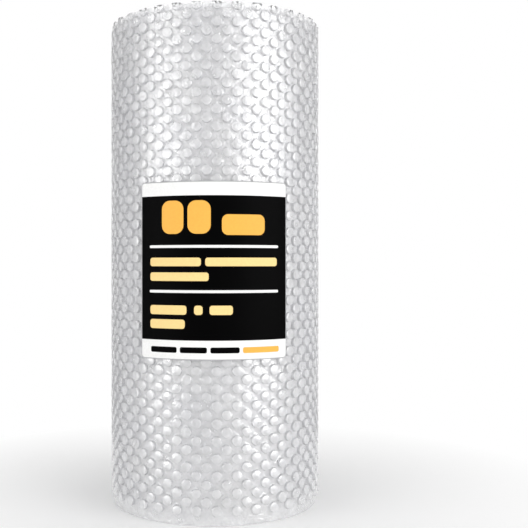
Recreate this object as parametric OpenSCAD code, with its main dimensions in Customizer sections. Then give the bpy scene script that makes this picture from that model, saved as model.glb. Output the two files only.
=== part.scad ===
// A roll of small-bubble cushioning film standing on its end, with a wide label on its front.
// Origin: middle of the lower end, on the winding axis. +Z runs up the axis, the label faces -Y.
// The web is wound bubble side out. Angles along it are counted back from its free end, so 0 to 360
// is the outermost turn.

/* [Roll] */
// Width of the web, which is the height of the standing roll
web_w = 304.8; // [150:0.1:620]
// Diameter of the roll over the bubble tops
roll_d = 135; // [90:0.5:240]
// Diameter of the open eye that winding leaves in the middle
eye_d = 25.4; // [12:0.1:50]
// Thickness of the film between the bubbles
film_t = 0.4; // [0.2:0.05:1]
// Air between one turn and the next
turn_gap = 0.3; // [0.2:0.05:1]
// Where the free end lies, seen from above: 90 is the back
tail_angle = 92; // [60:1:120]

/* [Bubbles] */
// Distance between bubble columns, measured around the bubble tops
column_step = 6.06; // [6.02:0.01:14]
// Distance between the bubbles of one column
bubble_pitch = 10.16; // [8:0.01:20]
// Diameter of a bubble
bubble_d = 5.6; // [3:0.1:5.6]
// Height of a bubble above the film
bubble_h = 2.2; // [1:0.1:4]
// Plain film below the lowest bubbles
low_margin = 6; // [2:0.5:30]
// Plain film above the highest bubbles
high_margin = 0.5; // [0.5:0.5:30]

/* [Label] */
// Height of the label
label_h = 104; // [60:1:140]
// Width of the label, measured around the roll
label_w = 93; // [60:1:120]
// Height of the label's middle above the floor
label_z = 148.6; // [72:0.1:220]
// Thickness of the label
label_t = 0.25; // [0.1:0.05:1]
// Radius of the label's corners
label_corner = 2.5; // [1:0.5:8]
// Air between the bubble tops and the label
label_clear = 0.1; // [0.02:0.01:0.3]
// Thickness of a printed colour
ink_t = 0.05; // [0.02:0.01:0.2]

/* [Print] */
// Width of the dark line around the label
line_w = 0.6; // [0.2:0.1:1]
// Height of the white strip above the dark panel
top_strip_h = 8.4; // [2:0.1:14]
// Height of the white strip below the dark panel
low_strip_h = 11.4; // [2:0.1:18]
// Bare margin at each side of the print
side_margin = 6.5; // [2:0.1:20]
// Thickness of the two rules across the panel
rule_h = 1.6; // [0.5:0.1:3]
// Height of the two large blocks, as a share of the panel
block_share = 0.23; // [0.1:0.01:0.25]
// Height of the bar beside them, as a share of the panel
word_share = 0.15; // [0.05:0.01:0.2]
// Height of the small bars, as a share of the panel
bar_share = 0.06; // [0.02:0.01:0.08]
// Share of a bar's height that its corner radius is
bar_corner = 0.28; // [0.1:0.01:0.45]

/* [Hidden] */

WHITE = [0.97, 0.97, 0.96];
BLACK = [0.03, 0.03, 0.03];
GREY = [0.3, 0.3, 0.31];
ORANGE = [0.98, 0.7, 0.25];
YELLOW = [0.99, 0.86, 0.55];
FILM = [0.9, 0.91, 0.94, 0.85];

columns = round(PI * roll_d / column_step);
step_a = 360 / columns;
web_t = film_t + bubble_h;
turn_pitch = web_t + turn_gap;

// The turns under the outermost one, in flats, down to where only the eye is left
turn_flats = 36;
turn_flat_a = 360 / turn_flats;
eye_r = eye_d / 2;
wound_flats = floor((top_r(360) - web_t - eye_r) / turn_pitch * turn_flats);

// How deep a bubble's foot reaches into the film, and the outermost film into the next turn, in flats
root_t = film_t / 2;
seam_share = 0.2;

// The label is centred on the front and covers whole flats before its outline is cut
front_a = tail_angle + 90;
front_column = round(front_a / step_a);
label_columns = ceil(label_w / 2 / column_step) + 2;
label_r = roll_d / 2 + label_clear;

// The print: rows up the dark panel and words across the printed width, both as shares from 0 to 1
panel_h = label_h - top_strip_h - low_strip_h;
panel_low = low_strip_h - label_h / 2;
print_w = label_w - 2 * side_margin;
rule_rows = [0.337, 0.648];
block_row = 0.85;
heading_blocks = [[0.11, 0.28], [0.31, 0.48]];
heading_word = [[0.56, 0.89]];
text_rows = [
    [0.542, [[0, 0.41], [0.44, 0.99]]],
    [0.439, [[0, 0.46]]],
    [0.21, [[0, 0.3], [0.355, 0.42], [0.47, 0.64]]],
    [0.112, [[0, 0.285]]]
];
foot_words = [[0, 0.22], [0.25, 0.45], [0.475, 0.69]];
foot_end = [[0.715, 1]];
foot_share = 0.3;

// Radius of the bubble tops at an angle along the web
function top_r(a) = (roll_d + turn_pitch) / 2 - turn_pitch * a / 360;

// Corner radius of the outermost turn's flats, which lie `lift` above the bubble tops
function flat_corner_r(a, lift) = (top_r(a) + lift) / cos(step_a / 2);

function wound_point(r, a) = [r * cos(tail_angle - a), r * sin(tail_angle - a)];

// Distance from the roll's middle plane of a point that lies u around the label from its middle
function across(u) = label_r * sin(u / label_r * 180 / PI);

// Height above the label's middle of a row of print
function row_v(share) = panel_low + share * panel_h;

// Inner turns. The last one fills the room down to the eye

module inner_turns()
    linear_extrude(web_w)
        difference() {
            polygon(concat(
                [for (i = [0 : wound_flats])
                    let (a = 360 + i * turn_flat_a) wound_point(top_r(a), a)],
                [for (i = [wound_flats - turn_flats : -1 : 0])
                    let (a = 360 + i * turn_flat_a) wound_point(top_r(a) - web_t, a)]
            ));
            circle(r = eye_r, $fn = 96);
        }

// Outermost turn, one flat for each column of bubbles. The last flat runs on into the turn below

module film_flat(c) {
    a0 = c * step_a;
    a1 = a0 + step_a;
    reach = c == columns - 1 ? 1 + seam_share : 1;
    upper = wound_point(flat_corner_r(a0, -bubble_h), a0);
    upper_end = wound_point(flat_corner_r(a1, -bubble_h), a1);
    lower = wound_point(flat_corner_r(a0, -web_t), a0);
    lower_end = wound_point(flat_corner_r(a1, -web_t), a1);
    linear_extrude(web_w)
        polygon([
            upper,
            upper + reach * (upper_end - upper),
            lower + reach * (lower_end - lower),
            lower
        ]);
}

module bubble()
    translate([-root_t, 0, 0])
        rotate([0, 90, 0])
            cylinder(h = root_t + bubble_h, d = bubble_d, $fn = 24);

module bubble_column(c) {
    p0 = wound_point(flat_corner_r(c * step_a, -bubble_h), c * step_a);
    p1 = wound_point(flat_corner_r((c + 1) * step_a, -bubble_h), (c + 1) * step_a);
    middle = (p0 + p1) / 2;
    along = p1 - p0;
    stagger = c % 2 == 0 ? bubble_pitch / 2 : 0;
    lowest = low_margin + bubble_d / 2 + stagger;
    highest = web_w - high_margin - bubble_d / 2;
    for (z = [lowest : bubble_pitch : highest])
        translate([middle.x, middle.y, z])
            rotate([0, 0, atan2(along.y, along.x) + 90])
                bubble();
}

module bubble_web()
    color(FILM) {
        inner_turns();
        for (c = [0 : columns - 1])
            union() {
                film_flat(c);
                bubble_column(c);
            }
    }

// Label

module wrapped_layer(t)
    translate([0, 0, label_z - label_h])
        linear_extrude(2 * label_h)
            polygon(concat(
                [for (c = [front_column - label_columns : front_column + label_columns])
                    wound_point(flat_corner_r(c * step_a, label_clear), c * step_a)],
                [for (c = [front_column + label_columns : -1 : front_column - label_columns])
                    wound_point(flat_corner_r(c * step_a, label_clear + t), c * step_a)]
            ));

// Cuts a layer with so many printed colours on it to the 2D outline in children, seen from the front
module printed(colours)
    intersection() {
        wrapped_layer(label_t + colours * ink_t);
        translate([0, 0, label_z])
            rotate([90, 0, 0])
                linear_extrude(roll_d)
                    children();
    }

// A rounded patch, around and above the label's middle
module patch(u, v, w, h, r) {
    x0 = across(u - w / 2);
    x1 = across(u + w / 2);
    for (x = [x0 + r, x1 - r])
        for (y = [v - h / 2 + r, v + h / 2 - r])
            translate([x, y]) circle(r = r, $fn = 32);
    translate([x0 + r, v - h / 2]) square([x1 - x0 - 2 * r, h]);
    translate([x0, v - h / 2 + r]) square([x1 - x0, h - 2 * r]);
}

module sheet_outline(inset)
    patch(0, 0, label_w - 2 * inset, label_h - 2 * inset, label_corner - inset);

// A bar for each word of a row of print
module word_bars(v, h, words)
    for (word = words) {
        u = print_w * ((word[0] + word[1]) / 2 - 0.5);
        patch(u, v, print_w * (word[1] - word[0]), h, h * bar_corner);
    }

module label() {
    block_h = block_share * panel_h;
    word_h = word_share * panel_h;
    block_low = row_v(block_row) - block_h / 2;
    panel_x = across(label_w / 2 - line_w);
    foot_v = (low_strip_h - label_h) / 2;
    color(GREY) printed(0) sheet_outline(0);
    color(WHITE) printed(1) sheet_outline(line_w);
    color(BLACK) printed(2) translate([-panel_x, panel_low]) square([2 * panel_x, panel_h]);
    color(WHITE) printed(3)
        for (row = rule_rows)
            patch(0, row_v(row), print_w, rule_h, rule_h * bar_corner);
    color(ORANGE) printed(3) {
        word_bars(row_v(block_row), block_h, heading_blocks);
        word_bars(block_low + word_h / 2, word_h, heading_word);
        word_bars(foot_v, foot_share * low_strip_h, foot_end);
    }
    color(YELLOW) printed(3)
        for (row = text_rows)
            word_bars(row_v(row[0]), bar_share * panel_h, row[1]);
    color(BLACK) printed(3) word_bars(foot_v, foot_share * low_strip_h, foot_words);
}

bubble_web();
label();
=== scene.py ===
# A roll of small-bubble cushioning film standing on its end, with a wide label on its front.
# Lengths are in metres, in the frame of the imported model.
import math

import bmesh
import bpy
import numpy as np
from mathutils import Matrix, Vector


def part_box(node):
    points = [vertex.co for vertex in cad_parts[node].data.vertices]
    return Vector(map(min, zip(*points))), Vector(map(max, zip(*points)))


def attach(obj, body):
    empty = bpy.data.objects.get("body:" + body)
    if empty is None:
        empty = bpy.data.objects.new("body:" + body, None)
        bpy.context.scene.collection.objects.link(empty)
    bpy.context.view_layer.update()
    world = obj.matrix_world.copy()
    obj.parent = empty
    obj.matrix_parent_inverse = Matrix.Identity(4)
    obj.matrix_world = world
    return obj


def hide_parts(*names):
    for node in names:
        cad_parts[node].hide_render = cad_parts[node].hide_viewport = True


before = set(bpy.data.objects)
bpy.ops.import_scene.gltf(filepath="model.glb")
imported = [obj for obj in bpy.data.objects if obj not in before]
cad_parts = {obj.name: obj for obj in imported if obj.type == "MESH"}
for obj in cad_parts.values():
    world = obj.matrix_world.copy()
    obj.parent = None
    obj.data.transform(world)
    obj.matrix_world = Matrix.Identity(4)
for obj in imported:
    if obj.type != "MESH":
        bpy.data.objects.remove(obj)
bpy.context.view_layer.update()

MM = 0.001
FULL_TURN = 2 * math.pi
WEB_LOW, WEB_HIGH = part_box("bubble_web")
WEB_W = WEB_HIGH[2] - WEB_LOW[2]
ROLL_R = (WEB_HIGH[0] - WEB_LOW[0]) / 2

# The web, as it was wound
BUBBLE_H = 2.2 * MM
FILM_T = 0.4 * MM
TURN_GAP = 0.3 * MM
TURN_PITCH = BUBBLE_H + FILM_T + TURN_GAP
COLUMNS = 70
BUBBLE_PITCH = 10.16 * MM
BUBBLE_R = 3.2 * MM
LOWEST_BUBBLE = 8.8 * MM
EYE_R = 12.7 * MM
TAIL_ANGLE = math.radians(92)

# How far in from both ends of the roll the inner turns are made
END_DEPTH = 14 * MM

# Rings of points around a bubble, from its top down to its foot: shares of its radius and height
FINE_RINGS = ((0.82, 1.0), (0.91, 0.97), (0.97, 0.8), (1.0, 0.0))
COARSE_RINGS = ((0.86, 0.96), (1.0, 0.0))
SIDE_SEGMENTS = 10
END_SEGMENTS = 8

# How crumpled the web is: all over, more above the label, and more at its cut edges
CRUMPLE_BASE = 0.25
CRUMPLE_ABOVE = 0.35
CRUMPLE_EDGE = 0.6
EDGE_REACH = 5 * MM
ABOVE_START = 0.66 * WEB_W
ABOVE_BLEND = 14 * MM

# How much of that shows on the tops of the bubbles, where the film is taut
TAUT_SHARE = 0.8

# How far the bubbles at the floor lean to look up, and the height that each part of lean takes
SAG = 0.16
SAG_LOSS = 0.7

# How much the bubbles differ, as standard deviations in shares of their own size
SIZE_SPREAD = 0.03
SIZE_RANGE = (0.9, 1.05)
LOSS_SPREAD = 0.14
MOST_LOSS = 0.5
LEAN_SPREAD = 0.08
TILT_SPREAD = 0.09
WOBBLE_SPREAD = 0.03
DENT_SPREAD = 0.07

# The film between the bubbles: how deep it dips, in slow waves along the web and up it
DIP = 0.2 * MM
DIP_WAVE = 0.1 * MM
WAVE_ALONG = 7 * MM
WAVE_UP = 9 * MM

# The torn rim, which carries painted shade as dark specks: how far down it reaches, and how much of it
# shows on film that has no bubble
RIM_REACH = 3 * MM
RIM_ON_FILM = 0.1

# Mesh work: how near points are joined or lie on a cut, and from which angle an edge is sharp
WELD = 0.02 * MM
CUT_SNAP = 0.0001 * MM
BUBBLE_EDGE = math.radians(65)
PLAIN_EDGE = math.radians(40)

# The label
LABEL_Z = 148.6 * MM
LABEL_W = 93 * MM
LABEL_H = 104 * MM
LABEL_T = 0.25 * MM
LABEL_CLEAR = 0.1 * MM
LABEL_CORNER = 2.5 * MM
PANEL_CORNER = 0.05 * MM
CORNER_STEPS = 6
INK_T = 0.03 * MM
LINE_W = 0.6 * MM
TOP_STRIP_H = 8.4 * MM
LOW_STRIP_H = 11.4 * MM

# The label is cut into upright slices this wide before it is bent round the roll
SLICE_W = 1.5 * MM

# The print, in millimetres to the right of the label's middle and above it. A patch is its middle,
# width, height and corner radius. A row of bars is its middle, height, and the ends of each bar
BLOCKS = [(u, 31, 13.6, 19.4, 5.0) for u in (-24.6, -8.6)]
WORD = (17.6, 26.6, 26, 12, 3.6)
RULES = [(0, v, 80, 1.6, 0.75) for v in (14, -12.2)]
TEXT_ROWS = (
    (5, 5.0, ((-39.5, -7.5), (-5, 39))),
    (-3.6, 5.0, ((-39.5, -3),)),
    (-23, 5.4, ((-39.5, -16), (-11.5, -6.5), (-2.5, 11))),
    (-31.2, 5.4, ((-39.5, -17),)),
)
FOOT_ROW = (-46.2, 3.4, ((-39, -22), (-20, -4), (-2, 15)))
FOOT_END_ROW = (-46.2, 3.4, ((17, 40.5),))
BAR_CORNER = 0.3

# The film's colours: its haze, what it lets through seen straight on and edge on, and the painted shade
# of the dark specks on its torn rim
HAZE_DARK = (0.93, 0.932, 0.95)
HAZE_PALE = (0.96, 0.96, 0.965)
SEE_THROUGH = (0.985, 0.986, 0.99)
SEE_EDGE = (0.92, 0.922, 0.935)
RIM_PAINTED_SHADE = (0.12, 0.12, 0.125)

# The share that the film mirrors straight on and edge on, how late it rises, and its refraction
SHINE = 0.3
SHINE_EDGE = 0.9
SHINE_POWER = 5.0
FILM_IOR = 1.6

# The haze that rises towards the film's edges, and between which facings it does
EDGE_HAZE = 0.25
EDGE_START = 0.35
EDGE_FULL = 0.85

# Noises in the film and the paper, in cells to a metre
CREASE_CELLS = 260
WARP_CELLS = 0.9 * CREASE_CELLS
DENT_CELLS = 700
CLOUD_CELLS = 45
PATCH_CELLS = 160
SPECK_CELLS = 700
PAPER_CELLS = 900

# Creases: how far they are bent, how wide they are, how deep against the dents, and both together
CREASE_BEND = 4 * MM
CREASE_W = 0.12
CREASE_SHARE = 0.4
CRINKLE_DEPTH = 0.7 * MM

# The dents' noise: its scale along each axis, which draws it out up the web, and its detail
DENT_STRETCH = (1, 1, 0.35)
DENT_DETAIL = 4.0

# The rim's painted shade specks are the part of their noise between these two values, and this strong
SPECK_LOW = 0.47
SPECK_HIGH = 0.53
SPECK_GAIN = 1.6

# Most of a noise lies between these two values
NOISE_LOW = 0.3
NOISE_HIGH = 0.7

# Paper: how its colour and its roughness vary, and the relief of its grain
PAPER_DETAIL = 3.0
PAPER_DARKER = 0.93
PAPER_ROUGHNESS_SPREAD = 0.06
PAPER_BUMP = 0.15
PAPER_DEPTH = 0.05 * MM

# The floor, and the distances from its middle, in radii of the roll, between which it turns white
FLOOR_W = 12
FLOOR_DROP = 0.2 * MM
FLOOR_LEVEL = 0.97
FLOOR_ROUGHNESS = 0.9
FADE_START = 1.2
FADE_END = 4

# The room's light, and the lamps and cards around the roll: distance and upright angle of each
ROOM_LIGHT = 0.7
LAMP_DISTANCE = 1.3
LAMP_TALL = 60
SIDE_CARD_DISTANCE = 1.0
SIDE_CARD_TALL = 70
SIDE_CARD_ROUGHNESS = 0.8
MIRROR_CARD_H = 1.5 * WEB_W

# The photograph's frame and what was measured in it. The sensor's width is in millimetres
FRAME_PX = 528
ROLL_AXIS_PX = 213.9
FOCAL_PX = 867.5
CAMERA_DISTANCE = 0.569
SENSOR_W = 36.0

rng = np.random.default_rng(seed=7)


# Winding

def top_r(a):
    """Radius of the bubble tops at an angle along the web, in radians back from its free end."""
    return ROLL_R + TURN_PITCH / 2 - TURN_PITCH * a / FULL_TURN


def angle_at(u):
    """Angle along the web at a length u along its film from the free end."""
    r0 = top_r(0) - BUBBLE_H
    return (r0 - np.sqrt(r0 * r0 - TURN_PITCH * u / math.pi)) * FULL_TURN / TURN_PITCH


def length_to(a):
    """Length along the film from the free end to an angle along the web."""
    r0 = top_r(0) - BUBBLE_H
    return r0 * a - TURN_PITCH * a * a / (2 * FULL_TURN)


def wound_end():
    """Angle along the web at which it has reached the eye."""
    return (top_r(0) - BUBBLE_H - FILM_T - EYE_R) / TURN_PITCH * FULL_TURN


def wound(points):
    """Points (length along the film, height, lift off the film) as places on the roll."""
    a = angle_at(points[:, 0])
    r = top_r(a) - BUBBLE_H + points[:, 2]
    polar = TAIL_ANGLE - a
    return np.column_stack([r * np.cos(polar), r * np.sin(polar), points[:, 1]])


# Meshes

def add_object(name, data):
    ob = bpy.data.objects.new(name, data)
    bpy.context.collection.objects.link(ob)
    return ob


def cut(bm, place, normal, clear=True):
    """Cuts along a plane and, unless told not to, clears the side that its normal points to."""
    geometry = bm.verts[:] + bm.edges[:] + bm.faces[:]
    bmesh.ops.bisect_plane(
        bm, geom=geometry, plane_co=place, plane_no=normal, clear_outer=clear, dist=CUT_SNAP)


def around(segments):
    """Angles of so many equal steps around a circle."""
    return np.arange(segments) * FULL_TURN / segments


def add_values(mesh, name, values):
    """Gives each vertex a value that materials can read."""
    mesh.attributes.new(name, "FLOAT", "POINT").data.foreach_set("value", values)


# Bubble sheet

def crush(z):
    """How crumpled the web is at a height, from 0 to 1."""
    edge = np.exp(-np.minimum(z, WEB_W - z) / EDGE_REACH)
    above = 1 / (1 + np.exp(-(z - ABOVE_START) / ABOVE_BLEND))
    return (CRUMPLE_BASE + CRUMPLE_ABOVE * above + CRUMPLE_EDGE * edge).clip(0, 1)


def sag(z):
    """How far a bubble leans to look up at a height. It grows from the middle towards the floor."""
    return SAG * (1 - 2 * z / WEB_W).clip(0, 1)


def dip(u, z):
    """How deep the film lies below its wound place between the bubbles."""
    return DIP + DIP_WAVE * np.sin(u / WAVE_ALONG) * np.cos(z / WAVE_UP)


def zipped(inner, outer):
    """Triangles between two rings of points around a middle, given their angles in degrees."""
    faces = []
    n, m = len(inner), len(outer)
    i = j = 0
    while i < n or j < m:
        next_i = inner[i % n] + 360 * (i // n)
        after_i = inner[(i + 1) % n] + 360 * ((i + 1) // n)
        after_j = outer[(j + 1) % m] + 360 * ((j + 1) // m)
        if j >= m or (i < n and after_i + next_i <= 2 * after_j):
            faces.append((i % n, n + j % m, (i + 1) % n))
            i += 1
        else:
            faces.append((i % n, n + j % m, n + (j + 1) % m))
            j += 1
    return faces


def cell_corners(step):
    """Corners of the six-sided patch of film that belongs to one bubble."""
    half = BUBBLE_PITCH / 2
    wide = (step * step + half * half) / (2 * step)
    narrow = (step * step - half * half) / (2 * step)
    return np.array([
        (wide, 0), (narrow, half), (-narrow, half), (-wide, 0), (-narrow, -half), (narrow, -half),
    ])


def cell_faces(corners, segments, rings):
    """Faces of one bubble, from its top down its rings to the corners of its patch of film."""
    faces = [(0, 1 + i, 1 + (i + 1) % segments) for i in range(segments)]
    for k in range(rings - 1):
        upper, lower = 1 + k * segments, 1 + (k + 1) * segments
        for i in range(segments):
            j = (i + 1) % segments
            faces.append((upper + i, lower + i, lower + j, upper + j))
    foot = 1 + (rings - 1) * segments
    corner_degrees = np.degrees(np.arctan2(corners[:, 1], corners[:, 0])) % 360
    skirt = zipped(list(np.degrees(around(segments))), list(corner_degrees))
    return faces + [tuple(foot + i for i in face) for face in skirt]


def offset_faces(faces, copies, count):
    """The faces of so many copies of a cell that has count vertices."""
    return [tuple(i + c * count for i in face) for c in range(copies) for face in faces]


def bubble_cells(centres, step, segments, rings):
    """Vertices (u, z, lift) and faces of a bubble on each centre, with the film around it."""
    turn = around(segments)
    corners = cell_corners(step)
    n = len(centres)
    count = 1 + segments * len(rings) + len(corners)
    verts = np.zeros((n, count, 3))
    size = rng.normal(1, SIZE_SPREAD, (n, 1)).clip(*SIZE_RANGE)
    crumple = crush(centres[:, 1:])
    lean_up = sag(centres[:, 1:])
    loss = np.abs(rng.normal(0, LOSS_SPREAD, (n, 1))).clip(0, MOST_LOSS)
    tall = 1 - loss * crumple - SAG_LOSS * lean_up
    lean = rng.normal(0, LEAN_SPREAD, (n, 2)) * BUBBLE_R * crumple
    tilt = rng.normal(0, TILT_SPREAD, (n, 2)) * crumple
    tilt[:, 1:] -= lean_up
    verts[:, :, 0] = centres[:, None, 0]
    verts[:, :, 1] = centres[:, None, 1]
    verts[:, 0, :2] += lean
    verts[:, 0, 2] = tall[:, 0]
    for k, (out, up) in enumerate(rings):
        at = slice(1 + k * segments, 1 + (k + 1) * segments)
        wobble = 1 + rng.normal(0, WOBBLE_SPREAD, (n, segments)) * (1 if up else 0)
        dent = 1 - np.abs(rng.normal(0, DENT_SPREAD, (n, segments))) * crumple
        across = out * size * wobble * np.cos(turn)
        along = out * size * wobble * np.sin(turn)
        slope = across * tilt[:, :1] + along * tilt[:, 1:]
        verts[:, at, 0] += BUBBLE_R * across + lean[:, :1] * up
        verts[:, at, 1] += BUBBLE_R * along + lean[:, 1:] * up
        verts[:, at, 2] = (up * tall * dent * (1 + slope)).clip(0, 1)
    verts[:, :, 2] *= BUBBLE_H
    at = slice(count - len(corners), count)
    verts[:, at, :2] += corners
    verts[:, at, 2] = -dip(verts[:, at, 0], verts[:, at, 1])
    faces = cell_faces(corners, segments, len(rings))
    return verts.reshape(-1, 3), offset_faces(faces, n, count)


def film_cells(centres, step):
    """Vertices and faces of plain film around each centre."""
    corners = cell_corners(step)
    verts = np.zeros((len(centres), 1 + len(corners), 3))
    verts[:, :, 0] = centres[:, None, 0]
    verts[:, :, 1] = centres[:, None, 1]
    verts[:, 1:, :2] += corners
    verts[:, :, 2] = -dip(verts[:, :, 0], verts[:, :, 1])
    faces = [(0, 1 + i, 1 + (i + 1) % len(corners)) for i in range(len(corners))]
    return verts.reshape(-1, 3), offset_faces(faces, len(centres), 1 + len(corners))


def lattice(columns, rows, step):
    """Centres of staggered columns of bubbles. Even columns sit half a pitch higher."""
    return np.array([
        ((c + 0.5) * step, LOWEST_BUBBLE + (r + 0.5 * ((c + 1) % 2)) * BUBBLE_PITCH)
        for c in columns for r in rows
    ])


def flat_web(u_range, z_range, step, segments, rings):
    """Vertices and faces of a flat stretch of web that reaches a little beyond both ranges."""
    columns = range(math.floor(u_range[0] / step) - 2, math.ceil(u_range[1] / step) + 2)
    first_row = math.floor((z_range[0] - LOWEST_BUBBLE) / BUBBLE_PITCH) - 1
    last_row = math.ceil((z_range[1] - LOWEST_BUBBLE) / BUBBLE_PITCH) + 1
    centres = lattice(columns, range(max(first_row, 0), last_row + 1), step)
    verts, faces = bubble_cells(centres, step, segments, rings)
    if first_row < 0:
        plain_verts, plain_faces = film_cells(lattice(columns, range(first_row, 0), step), step)
        faces += [tuple(len(verts) + i for i in face) for face in plain_faces]
        verts = np.concatenate([verts, plain_verts])
    return verts, faces


def bubble_sheet(name, u_range, z_range, step, segments, rings):
    """A wound stretch of the web, trimmed to a range of lengths along it and of heights."""
    verts, faces = flat_web(u_range, z_range, step, segments, rings)
    mesh = bpy.data.meshes.new(name)
    mesh.from_pydata(verts.tolist(), [], faces)
    bm = bmesh.new()
    bm.from_mesh(mesh)
    bmesh.ops.remove_doubles(bm, verts=bm.verts[:], dist=WELD)
    cut(bm, (u_range[0], 0, 0), (-1, 0, 0))
    cut(bm, (u_range[1], 0, 0), (1, 0, 0))
    cut(bm, (0, z_range[0], 0), (0, -1, 0))
    cut(bm, (0, z_range[1], 0), (0, 1, 0))
    bmesh.ops.reverse_faces(bm, faces=bm.faces[:])
    bm.to_mesh(mesh)
    bm.free()
    flat = np.empty(len(mesh.vertices) * 3)
    mesh.vertices.foreach_get("co", flat)
    flat = flat.reshape(-1, 3)
    taut = np.where(flat[:, 2] > BUBBLE_H / 2, TAUT_SHARE, 1)
    raised = (flat[:, 2] / BUBBLE_H).clip(RIM_ON_FILM, 1)
    add_values(mesh, "crumple", crush(flat[:, 1]) * taut)
    # Where the torn rim's painted shade specks may show: near the top edge, mostly on raised bubbles
    add_values(mesh, "rim", raised * np.exp((flat[:, 1] - WEB_W) / RIM_REACH))
    mesh.vertices.foreach_set("co", wound(flat).ravel())
    mesh.update()
    mesh.shade_smooth()
    mesh.set_sharp_from_angle(angle=BUBBLE_EDGE)
    return add_object(name, mesh)


# Nodes

def new_material(name):
    material = bpy.data.materials.new(name)
    material.use_nodes = True
    tree = material.node_tree
    return material, tree, tree.nodes["Principled BSDF"], tree.nodes["Material Output"]


def grey(level):
    return (level, level, level, 1)


def add_node(tree, kind, inputs=None, **settings):
    """A node with its settings made and its inputs linked to other nodes or set to values."""
    node = tree.nodes.new(kind)
    for key, value in settings.items():
        setattr(node, key, value)
    for key, value in (inputs or {}).items():
        if isinstance(value, bpy.types.NodeSocket):
            tree.links.new(value, node.inputs[key])
        else:
            node.inputs[key].default_value = value
    return node


def calculated(tree, operation, *values, use_clamp=False):
    inputs = dict(enumerate(values))
    node = add_node(tree, "ShaderNodeMath", inputs, operation=operation, use_clamp=use_clamp)
    return node.outputs["Value"]


def vector_node(tree, operation, *values):
    return add_node(tree, "ShaderNodeVectorMath", dict(enumerate(values)), operation=operation)


def place_in(tree):
    return add_node(tree, "ShaderNodeTexCoord").outputs["Object"]


def vertex_value(tree, name):
    return add_node(tree, "ShaderNodeAttribute", attribute_name=name).outputs["Fac"]


def noise_in(tree, place, cells, detail=2.0, output="Fac"):
    inputs = {"Vector": place, "Scale": cells, "Detail": detail}
    return add_node(tree, "ShaderNodeTexNoise", inputs).outputs[output]


def mapped(tree, value, low, high, to_low, to_high):
    """A value moved from one range to another, and kept inside it."""
    node = add_node(tree, "ShaderNodeMapRange", {
        "Value": value,
        "From Min": low,
        "From Max": high,
        "To Min": to_low,
        "To Max": to_high,
    })
    return node.outputs["Result"]


def spread(tree, noise, low, high):
    """A value that varies between two with a noise."""
    return mapped(tree, noise, NOISE_LOW, NOISE_HIGH, low, high)


def blended(tree, factor, colour_a, colour_b):
    """A colour that varies between two with a factor from 0 to 1."""
    node = add_node(tree, "ShaderNodeValToRGB", {"Fac": factor})
    low, high = node.color_ramp.elements
    low.position, high.position = NOISE_LOW, NOISE_HIGH
    low.color, high.color = (*colour_a, 1), (*colour_b, 1)
    return node.outputs["Color"]


def mixed(tree, share, shader_a, shader_b):
    """So much of the second shader, and the first for the rest."""
    return add_node(tree, "ShaderNodeMixShader", {0: share, 1: shader_a, 2: shader_b}).outputs[0]


def glowing(tree, level):
    return add_node(tree, "ShaderNodeEmission", {"Color": grey(level), "Strength": 1.0}).outputs[0]


# Materials

def crinkles(tree, place, strength):
    """Normal of creased and dented film. Strength is a pair, for a smooth and for a crumpled web."""
    warp = noise_in(tree, place, WARP_CELLS, output="Color")
    bent = vector_node(tree, "MULTIPLY_ADD", warp, (CREASE_BEND,) * 3, place).outputs["Vector"]
    cell_inputs = {"Vector": bent, "Scale": CREASE_CELLS}
    cells = add_node(tree, "ShaderNodeTexVoronoi", cell_inputs, feature="DISTANCE_TO_EDGE")
    crease = mapped(tree, cells.outputs["Distance"], 0, CREASE_W, 0, 1)
    drawn_out = vector_node(tree, "MULTIPLY", place, DENT_STRETCH).outputs["Vector"]
    dents = noise_in(tree, drawn_out, DENT_CELLS, DENT_DETAIL)
    bump = add_node(tree, "ShaderNodeBump", {
        "Strength": mapped(tree, vertex_value(tree, "crumple"), 0, 1, *strength),
        "Distance": CRINKLE_DEPTH,
        "Height": calculated(tree, "MULTIPLY_ADD", crease, CREASE_SHARE, dents),
    })
    return bump.outputs["Normal"]


def clear_shader(tree, facing, rough, normal):
    """Film that is seen through and mirrors. It mirrors more and shows less behind it edge on."""
    colour = blended(tree, facing, SEE_THROUGH, SEE_EDGE)
    see = add_node(tree, "ShaderNodeBsdfTransparent", {"Color": colour})
    mirror = add_node(tree, "ShaderNodeBsdfAnisotropic", {"Roughness": rough, "Normal": normal})
    tilt = add_node(tree, "ShaderNodeLayerWeight", {"Blend": 0.5, "Normal": normal})
    steep = calculated(tree, "POWER", tilt.outputs["Facing"], SHINE_POWER)
    shine = mapped(tree, steep, 0, 1, SHINE, SHINE_EDGE)
    return mixed(tree, shine, see.outputs[0], mirror.outputs[0])


def painted_rim_specks(tree, place):
    """How much painted shade shows as dark specks on the rim, from 0 to 1, mostly on its torn bubbles.
    """
    noise = noise_in(tree, place, SPECK_CELLS)
    specks = mapped(tree, noise, SPECK_LOW, SPECK_HIGH, 0, SPECK_GAIN)
    return calculated(tree, "MULTIPLY", vertex_value(tree, "rim"), specks, use_clamp=True)


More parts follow.
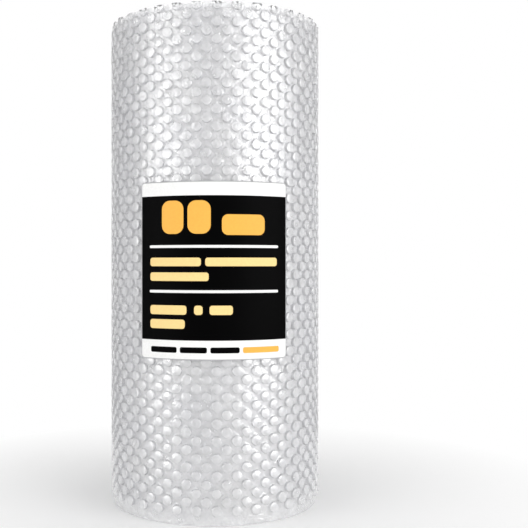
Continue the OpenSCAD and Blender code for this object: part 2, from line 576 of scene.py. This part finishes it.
def film_material(name, roughness, strength, haze=None, painted_rim_shade=False):
    """Pale creased film. It is clear between its patches of haze, or opaque where haze is None.

    Roughness and haze are pairs, the least and the most in the patches. Strength is a pair too,
    that of the creases on a smooth and on a crumpled web.
    """
    material, tree, shader, output = new_material(name)
    place = place_in(tree)
    normal = crinkles(tree, place, strength)
    patches = noise_in(tree, place, PATCH_CELLS)
    rough = spread(tree, patches, *roughness)
    colour = blended(tree, noise_in(tree, place, CLOUD_CELLS), HAZE_DARK, HAZE_PALE)
    if haze is not None:
        facing = add_node(tree, "ShaderNodeLayerWeight", {"Blend": 0.5}).outputs["Facing"]
        clear = clear_shader(tree, facing, rough, normal)
        at_edge = mapped(tree, facing, EDGE_START, EDGE_FULL, 0, EDGE_HAZE)
        share = calculated(tree, "MAXIMUM", spread(tree, patches, *haze), at_edge)
        # Painted shade: dark specks along the torn rim, where the film turns opaque and near black
        if painted_rim_shade:
            specks = painted_rim_specks(tree, place)
            shade_speckled = {"Factor": specks, "A": colour, "B": (*RIM_PAINTED_SHADE, 1)}
            colour = add_node(tree, "ShaderNodeMix", shade_speckled, data_type="RGBA").outputs["Result"]
            share = calculated(tree, "MAXIMUM", share, specks)
        tree.links.new(mixed(tree, share, clear, shader.outputs[0]), output.inputs["Surface"])
    tree.links.new(colour, shader.inputs["Base Color"])
    tree.links.new(rough, shader.inputs["Roughness"])
    tree.links.new(normal, shader.inputs["Normal"])
    shader.inputs["IOR"].default_value = FILM_IOR
    return material


def paper_material(name, colour, roughness, gloss=0.1):
    """Printed paper with a fine grain."""
    material, tree, shader, output = new_material(name)
    cloud = noise_in(tree, place_in(tree), PAPER_CELLS, PAPER_DETAIL)
    darker = tuple(c * PAPER_DARKER for c in colour)
    least, most = roughness - PAPER_ROUGHNESS_SPREAD, roughness + PAPER_ROUGHNESS_SPREAD
    relief = {"Strength": PAPER_BUMP, "Distance": PAPER_DEPTH, "Height": cloud}
    grain = add_node(tree, "ShaderNodeBump", relief)
    tree.links.new(blended(tree, cloud, darker, colour), shader.inputs["Base Color"])
    tree.links.new(spread(tree, cloud, least, most), shader.inputs["Roughness"])
    tree.links.new(grain.outputs["Normal"], shader.inputs["Normal"])
    shader.inputs["Specular IOR Level"].default_value = gloss
    return material


# Roll

def place_piece(ob, material, node):
    ob.data.materials.append(material)
    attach(ob, "root")
    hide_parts(node)


def make_inner_body():
    """The turns that no end shows: one closed body around the eye, set back at both ends."""
    segments = 128
    outer_r = float(top_r(2 * FULL_TURN)) - BUBBLE_H
    low, high = END_DEPTH, WEB_W - END_DEPTH
    rings = ((outer_r, low), (outer_r, high), (EYE_R, high), (EYE_R, low))
    verts = [(r * math.cos(t), r * math.sin(t), z) for r, z in rings for t in around(segments)]
    faces = []
    for k in range(len(rings)):
        a, b = k * segments, (k + 1) % len(rings) * segments
        for i in range(segments):
            j = (i + 1) % segments
            faces.append((a + i, a + j, b + j, b + i))
    mesh = bpy.data.meshes.new("inner_turns")
    mesh.from_pydata(verts, [], faces)
    mesh.shade_smooth()
    mesh.set_sharp_from_angle(angle=PLAIN_EDGE)
    return add_object("inner_turns", mesh)


def make_eye_wall():
    """The innermost film, which lines the open eye from end to end."""
    segments = 96
    circle = [(EYE_R * math.cos(t), EYE_R * math.sin(t)) for t in around(segments)]
    verts = [(x, y, z) for z in (0, WEB_W) for x, y in circle]
    faces = []
    for i in range(segments):
        j = (i + 1) % segments
        faces.append((i, segments + i, segments + j, j))
    mesh = bpy.data.meshes.new("eye_wall")
    mesh.from_pydata(verts, [], faces)
    mesh.shade_smooth()
    return add_object("eye_wall", mesh)


def make_roll():
    # The outer turn gets painted shade as dark specks along its torn top rim
    clear = film_material("clear_film", (0.06, 0.18), (0.0, 0.9), haze=(0.26, 0.38), painted_rim_shade=True)
    under = film_material("under_film", (0.08, 0.2), (0.0, 0.8), haze=(0.35, 0.5))
    ends = film_material("end_film", (0.1, 0.2), (0.0, 0.8), haze=(0.75, 0.9))
    packed = film_material("packed_film", (0.15, 0.3), (0.6, 0.6))
    first, second, last = (length_to(a) for a in (FULL_TURN, 2 * FULL_TURN, wound_end()))
    step = first / COLUMNS
    whole, top, bottom = (0, WEB_W), (WEB_W - END_DEPTH, WEB_W), (0, END_DEPTH)
    pieces = (
        (bubble_sheet("outer_turn", (0, first), whole, step, SIDE_SEGMENTS, FINE_RINGS), clear),
        (bubble_sheet("second_turn", (first, second), whole, step, SIDE_SEGMENTS, COARSE_RINGS), under),
        (make_inner_body(), packed),
        (make_eye_wall(), under),
        (bubble_sheet("top_turns", (second, last), top, step, END_SEGMENTS, COARSE_RINGS), ends),
        (bubble_sheet("bottom_turns", (second, last), bottom, step, END_SEGMENTS, COARSE_RINGS), ends),
    )
    for ob, material in pieces:
        place_piece(ob, material, "bubble_web")


# Label

def rounded_outline(w, h, r):
    """Points around a rectangle with round corners."""
    points = []
    for corner, (x, y) in enumerate(((1, 1), (-1, 1), (-1, -1), (1, -1))):
        for i in range(CORNER_STEPS + 1):
            t = math.radians(90 * corner + 90 / CORNER_STEPS * i)
            points.append((x * (w / 2 - r) + r * math.cos(t), y * (h / 2 - r) + r * math.sin(t)))
    return points


def wrapped_patch(name, u, v, w, h, corner, low, high):
    """A rounded patch lying round the front of the roll, between two heights over the bubble tops."""
    bm = bmesh.new()
    bm.faces.new([bm.verts.new((u + x, v + y, 0)) for x, y in rounded_outline(w, h, corner)])
    for k in range(math.ceil((u - w / 2) / SLICE_W), math.floor((u + w / 2) / SLICE_W) + 1):
        cut(bm, (k * SLICE_W, 0, 0), (1, 0, 0), clear=False)
    raised = bmesh.ops.extrude_face_region(bm, geom=bm.faces[:], use_keep_orig=True)["geom"]
    for vert in raised:
        if isinstance(vert, bmesh.types.BMVert):
            vert.co.z = high - low
    bmesh.ops.recalc_face_normals(bm, faces=bm.faces[:])
    for vert in bm.verts:
        r = ROLL_R + LABEL_CLEAR + low + vert.co.z
        t = vert.co.x / (ROLL_R + LABEL_CLEAR)
        vert.co = (r * math.sin(t), -r * math.cos(t), LABEL_Z + vert.co.y)
    mesh = bpy.data.meshes.new(name)
    bm.to_mesh(mesh)
    bm.free()
    mesh.shade_smooth()
    mesh.set_sharp_from_angle(angle=PLAIN_EDGE)
    return add_object(name, mesh)


def join(name, objects):
    """One object from several."""
    mesh = bpy.data.meshes.new(name)
    bm = bmesh.new()
    for ob in objects:
        bm.from_mesh(ob.data)
        old = ob.data
        bpy.data.objects.remove(ob)
        bpy.data.meshes.remove(old)
    bm.to_mesh(mesh)
    bm.free()
    return add_object(name, mesh)


def printed(name, patches):
    """One object from several patches of print, which lie over the dark panel's colour."""
    low, high = LABEL_T + 2 * INK_T, LABEL_T + 3 * INK_T
    sizes = [[size * MM for size in patch] for patch in patches]
    return join(name, [wrapped_patch(name, *patch, low, high) for patch in sizes])


def bars(v, h, ends):
    """The patches of a row of bars."""
    return [((a + b) / 2, v, b - a, h, h * BAR_CORNER) for a, b in ends]


def make_label():
    white = paper_material("white_print", (0.90, 0.90, 0.89), roughness=0.42)
    black = paper_material("black_print", (0.001, 0.001, 0.0011), roughness=0.4, gloss=0.02)
    line = paper_material("outline_print", (0.4, 0.4, 0.41), roughness=0.4)
    orange = paper_material("orange_print", (0.93, 0.48, 0.09), roughness=0.42)
    yellow = paper_material("yellow_print", (0.95, 0.70, 0.30), roughness=0.42)
    inner_w, inner_h = LABEL_W - 2 * LINE_W, LABEL_H - 2 * LINE_W
    inner_corner = LABEL_CORNER - LINE_W
    panel_h = LABEL_H - TOP_STRIP_H - LOW_STRIP_H
    panel_v = (LOW_STRIP_H - TOP_STRIP_H) / 2
    one_ink, two_inks = LABEL_T + INK_T, LABEL_T + 2 * INK_T
    sheet = wrapped_patch("label_sheet", 0, 0, LABEL_W, LABEL_H, LABEL_CORNER, 0, LABEL_T)
    face = wrapped_patch("label_face", 0, 0, inner_w, inner_h, inner_corner, LABEL_T, one_ink)
    panel = wrapped_patch("label_panel", 0, panel_v, inner_w, panel_h, PANEL_CORNER, LABEL_T, two_inks)
    text = [bar for row in TEXT_ROWS for bar in bars(*row)]
    pieces = (
        (sheet, line),
        (face, white),
        (panel, black),
        (printed("label_heading", [*BLOCKS, WORD]), orange),
        (printed("label_rules", RULES), white),
        (printed("label_lines", text), yellow),
        (printed("label_foot", bars(*FOOT_ROW)), black),
        (printed("label_foot_end", bars(*FOOT_END_ROW)), orange),
    )
    for ob, material in pieces:
        place_piece(ob, material, "label")


# Studio

def flat_card(name, width, height):
    """A flat rectangle around its own middle."""
    w, h = width / 2, height / 2
    mesh = bpy.data.meshes.new(name)
    mesh.from_pydata([(-w, -h, 0), (w, -h, 0), (w, h, 0), (-w, h, 0)], [], [(0, 1, 2, 3)])
    return add_object(name, mesh)


def white_share(tree, in_view=None):
    """Share of plain white that a ray meets: all of it from the camera, a mirror or glass.

    Where in_view is given, the camera's own rays meet that share of it instead.
    """
    path = add_node(tree, "ShaderNodeLightPath")
    share = path.outputs["Is Camera Ray"]
    if in_view is not None:
        share = calculated(tree, "MULTIPLY", in_view, share)
    for kind in ("Is Glossy Ray", "Is Transmission Ray"):
        share = calculated(tree, "MAXIMUM", share, path.outputs[kind])
    return share


def make_floor():
    """A pale floor that keeps the roll's shadow and turns into the white background further off."""
    floor = flat_card("floor", FLOOR_W, FLOOR_W)
    floor.location.z = -FLOOR_DROP
    material, tree, shader, output = new_material("floor_pale")
    shader.inputs["Base Color"].default_value = grey(FLOOR_LEVEL)
    shader.inputs["Roughness"].default_value = FLOOR_ROUGHNESS
    distance = vector_node(tree, "LENGTH", place_in(tree)).outputs["Value"]
    far = mapped(tree, distance, ROLL_R * FADE_START, ROLL_R * FADE_END, 0, 1)
    surface = mixed(tree, white_share(tree, far), shader.outputs[0], glowing(tree, 1))
    tree.links.new(surface, output.inputs["Surface"])
    floor.data.materials.append(material)


def make_world():
    """A room of plain soft light, which the camera, mirrors and glass see as white."""
    world = bpy.data.worlds.new("studio")
    bpy.context.scene.world = world
    world.use_nodes = True
    tree = world.node_tree
    room = tree.nodes["Background"]
    room.inputs["Color"].default_value = grey(1)
    room.inputs["Strength"].default_value = ROOM_LIGHT
    white = add_node(tree, "ShaderNodeBackground", {"Color": grey(1), "Strength": 1.0})
    surface = mixed(tree, white_share(tree), room.outputs[0], white.outputs[0])
    tree.links.new(surface, tree.nodes["World Output"].inputs["Surface"])


def covering(angle, distance):
    """Width that covers an angle in degrees, seen from a distance."""
    return 2 * distance * math.tan(math.radians(angle / 2))


def aim(ob, azimuth, distance):
    """Puts an object beside the roll, facing it. Azimuth 0 is the camera's side, + to its right."""
    a = math.radians(azimuth)
    middle = Vector((0, 0, WEB_W / 2))
    ob.location = middle + distance * Vector((math.sin(a), -math.cos(a), 0))
    ob.rotation_euler = (middle - ob.location).to_track_quat("-Z", "Y").to_euler()


def softbox(name, azimuth, span, brightness):
    """A rectangular lamp. Its span is the angle that it covers, seen from the roll."""
    width, height = covering(span, LAMP_DISTANCE), covering(LAMP_TALL, LAMP_DISTANCE)
    light = bpy.data.lights.new(name, "AREA")
    light.shape = "RECTANGLE"
    light.size, light.size_y = width, height
    light.energy = brightness * math.pi * width * height
    ob = add_object(name, light)
    aim(ob, azimuth, LAMP_DISTANCE)
    ob.visible_camera = False


def side_card(name, azimuth, span, level):
    """A grey card beside the roll that shades it and shows in its film, but not to the camera."""
    width = covering(span, SIDE_CARD_DISTANCE)
    ob = flat_card(name, width, covering(SIDE_CARD_TALL, SIDE_CARD_DISTANCE))
    aim(ob, azimuth, SIDE_CARD_DISTANCE)
    ob.visible_camera = False
    ob.visible_transmission = False
    material, tree, shader, output = new_material(name)
    shader.inputs["Base Color"].default_value = grey(level)
    shader.inputs["Roughness"].default_value = SIDE_CARD_ROUGHNESS
    ob.data.materials.append(material)


def mirror_card(name, left, right, y, soft, level):
    """An upright card that shows only in what the film mirrors, less bright than the white there.

    It stands from left to right across the view, and fades out at both over a width soft.
    """
    top = MIRROR_CARD_H
    mesh = bpy.data.meshes.new(name)
    mesh.from_pydata([(left, y, 0), (right, y, 0), (right, y, top), (left, y, top)], [], [(0, 1, 2, 3)])
    ob = add_object(name, mesh)
    ob.visible_camera = False
    ob.visible_diffuse = False
    ob.visible_shadow = False
    ob.visible_transmission = False
    material, tree, shader, output = new_material(name)
    across = add_node(tree, "ShaderNodeSeparateXYZ", {"Vector": place_in(tree)}).outputs["X"]
    from_left = mapped(tree, across, left, left + soft, 0, 1)
    from_right = mapped(tree, across, right, right - soft, 0, 1)
    inside = calculated(tree, "MULTIPLY", from_left, from_right)
    clear = add_node(tree, "ShaderNodeBsdfTransparent").outputs[0]
    tree.links.new(mixed(tree, inside, clear, glowing(tree, level)), output.inputs["Surface"])
    mesh.materials.append(material)


def make_studio():
    make_floor()
    make_world()
    softbox("key_right", azimuth=52, span=42, brightness=3.1)
    softbox("fill_left", azimuth=-57, span=36, brightness=2.3)
    side_card("card_right", azimuth=98, span=34, level=0.7)
    side_card("card_left", azimuth=-98, span=34, level=0.65)
    before, behind = -200 * MM, 200 * MM
    mirror_card("card_front", -105 * MM, 38 * MM, before, soft=45 * MM, level=0.8)
    mirror_card("card_back_left", -370 * MM, -115 * MM, behind, soft=40 * MM, level=0.3)
    mirror_card("card_back_right", 115 * MM, 270 * MM, behind, soft=40 * MM, level=0.25)


def make_camera():
    """A level camera at the photograph's distance, shifted to put the roll left of the middle."""
    camera = bpy.data.cameras.new("camera")
    camera.sensor_width = SENSOR_W
    camera.lens = SENSOR_W * FOCAL_PX / FRAME_PX
    camera.shift_x = (FRAME_PX / 2 - ROLL_AXIS_PX) / FRAME_PX
    ob = add_object("camera", camera)
    ob.location = (0, -CAMERA_DISTANCE, WEB_W / 2)
    ob.rotation_euler = (math.pi / 2, 0, 0)
    bpy.context.scene.camera = ob


make_camera()
make_roll()
make_label()
make_studio()
bpy.context.scene.view_settings.view_transform = "Standard"
